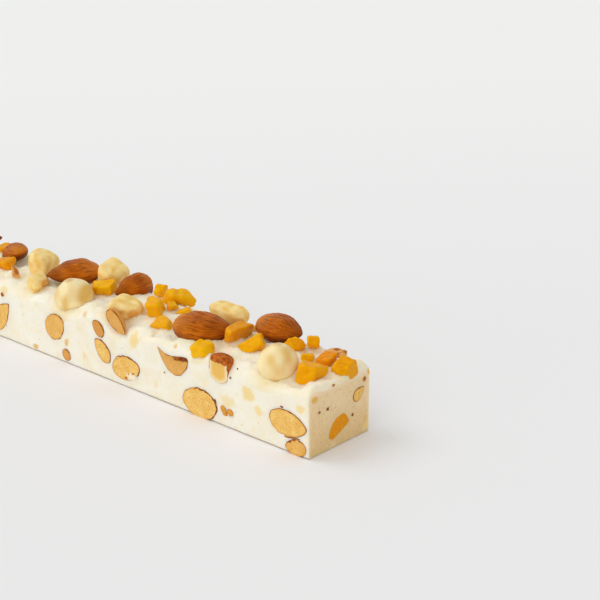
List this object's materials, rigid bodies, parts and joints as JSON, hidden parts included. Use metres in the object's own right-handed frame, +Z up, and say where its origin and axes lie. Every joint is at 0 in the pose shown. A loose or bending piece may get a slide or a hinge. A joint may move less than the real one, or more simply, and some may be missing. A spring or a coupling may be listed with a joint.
{
  "type": "nougat bar",
  "caption": "Long square-sided stick of soft white nougat with almonds, hazelnuts and diced apricot set in its uneven top and sliced through at its sides.",
  "frame": {"origin": "centre of the base, halfway along the bar and halfway across it, at the height of the surface it lies on", "axes": "+X along the bar towards the near cut end, +Y across it away from the viewer's long side, +Z up"},
  "size_m": [0.24, 0.032, 0.037],
  "materials": {
    "nougat": "soft matt white nougat, cut smooth at the sides",
    "almond": "wrinkled brown almond skin, slightly glossy",
    "cut_almond": "cut almond flesh, matt, with a thin brown rim of skin",
    "hazelnut": "blanched hazelnut, smooth, satin; one keeps a brown skin",
    "nut": "broken pale nut, satin",
    "apricot": "diced dried apricot, translucent and slightly glossy"
  },
  "bodies": {
    "root": {"almond_1": "almond", "almond_2": "almond", "almond_3": "almond", "almond_4": "almond", "almond_5": "almond", "almond_6": "almond", "almond_chip_1": "almond", "almond_chip_2": "almond", "almond_sliver": "cut_almond", "apricot_1": "apricot", "apricot_10": "apricot", "apricot_11": "apricot", "apricot_12": "apricot", "apricot_13": "apricot", "apricot_14": "apricot", "apricot_15": "apricot", "apricot_16": "apricot", "apricot_17": "apricot", "apricot_18": "apricot", "apricot_19": "apricot", "apricot_2": "apricot", "apricot_3": "apricot", "apricot_4": "apricot", "apricot_5": "apricot", "apricot_6": "apricot", "apricot_7": "apricot", "apricot_8": "apricot", "apricot_9": "apricot", "cut_almond_1": "cut_almond", "cut_almond_10": "cut_almond", "cut_almond_11": "cut_almond", "cut_almond_12": "cut_almond", "cut_almond_13": "cut_almond", "cut_almond_14": "cut_almond", "cut_almond_15": "cut_almond", "cut_almond_16": "cut_almond", "cut_almond_17": "cut_almond", "cut_almond_18": "cut_almond", "cut_almond_19": "cut_almond", "cut_almond_2": "cut_almond", "cut_almond_20": "cut_almond", "cut_almond_3": "cut_almond", "cut_almond_4": "cut_almond", "cut_almond_5": "cut_almond", "cut_almond_6": "cut_almond", "cut_almond_7": "cut_almond", "cut_almond_8": "cut_almond", "cut_almond_9": "cut_almond", "cut_apricot": "apricot", "hazelnut_1": "hazelnut", "hazelnut_2": "hazelnut", "hazelnut_3": "hazelnut", "hazelnut_4": "hazelnut", "nougat": "nougat", "nut_piece_1": "nut", "nut_piece_2": "nut", "nut_piece_3": "nut", "nut_piece_4": "nut", "nut_piece_5": "nut", "nut_piece_6": "nut"}
  },
  "joints": []
}
